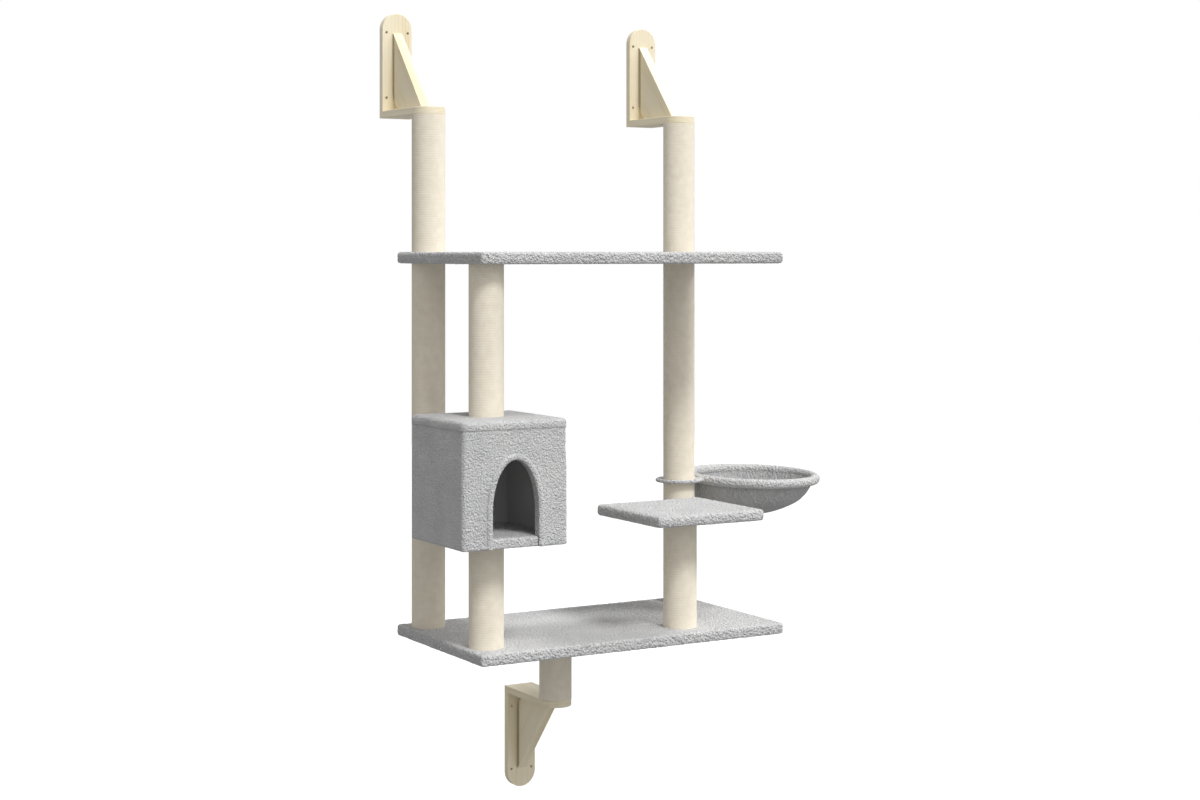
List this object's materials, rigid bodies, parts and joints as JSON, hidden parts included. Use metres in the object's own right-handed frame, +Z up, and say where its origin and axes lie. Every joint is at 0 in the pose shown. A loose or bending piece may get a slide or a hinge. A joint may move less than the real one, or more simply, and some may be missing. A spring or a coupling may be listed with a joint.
{
  "type": "wall mounted cat tree",
  "caption": "Wall mounted cat tree with plush boards and a small platform on wrapped posts, a house with an arched doorway, a swivelling round basket and wooden wall brackets.",
  "frame": {"origin": "middle of the lower wall plate's four screw holes, on the wall", "axes": "+X to the right as seen from the room, +Y into the wall, +Z up"},
  "size_m": [1.0781, 0.558, 1.698],
  "materials": {
    "plush": "light grey mottled short-pile plush",
    "post_wrap": "cream woven wrap with fine winding lines",
    "lining": "dark grey non-woven lining",
    "bracket_wood": "pale clear-coated birch plywood",
    "board_core": "raw particle board",
    "plug_wood": "raw turned wood",
    "cardboard": "wound paper tube",
    "zinc_steel": "bright zinc-plated steel",
    "hoop_wire": "black coated steel wire"
  },
  "bodies": {
    "frame": {"bottom_board_core": "board_core", "bottom_board_cover": "plush", "bracket_screws": "zinc_steel", "centre_bottom_tube": "cardboard", "centre_bottom_wrap": "post_wrap", "house_arch_trim": "plush", "house_back_panel": "board_core", "house_body_cover": "plush", "house_floor_cover": "plush", "house_floor_panel": "board_core", "house_front_panel": "board_core", "house_left_panel": "board_core", "house_lining": "lining", "house_right_panel": "board_core", "house_roof_cover": "plush", "house_roof_panel": "board_core", "house_screws": "zinc_steel", "insert_nuts": "zinc_steel", "joining_studs": "zinc_steel", "left_arm": "bracket_wood", "left_front_lower_tube": "cardboard", "left_front_lower_wrap": "post_wrap", "left_front_upper_tube": "cardboard", "left_front_upper_wrap": "post_wrap", "left_gusset": "bracket_wood", "left_rear_tube": "cardboard", "left_rear_wrap": "post_wrap", "left_top_tube": "cardboard", "left_top_wrap": "post_wrap", "left_wall_plate": "bracket_wood", "lower_arm": "bracket_wood", "lower_gusset": "bracket_wood", "lower_wall_plate": "bracket_wood", "platform_core": "board_core", "platform_cover": "plush", "post_bolts": "zinc_steel", "post_end_plugs": "plug_wood", "post_washers": "zinc_steel", "right_arm": "bracket_wood", "right_front_tube": "cardboard", "right_front_wrap": "post_wrap", "right_gusset": "bracket_wood", "right_rear_lower_tube": "cardboard", "right_rear_lower_wrap": "post_wrap", "right_rear_upper_tube": "cardboard", "right_rear_upper_wrap": "post_wrap", "right_top_tube": "cardboard", "right_top_wrap": "post_wrap", "right_wall_plate": "bracket_wood", "tee_nuts": "zinc_steel", "upper_board_core": "board_core", "upper_board_cover": "plush"},
    "basket": {"basket_bowl": "plush", "basket_eye_plate": "zinc_steel", "basket_hoop_wire": "hoop_wire", "basket_loop_sleeve": "plush", "basket_rim_sleeve": "plush"}
  },
  "joints": [
    {"name": "basket_swivel", "type": "hinge", "parent": "frame", "child": "basket", "pos_m": [0.3155, -0.17, 0.567], "axis": [0, 0, 1], "range_deg": [-59, 4]}
  ]
}
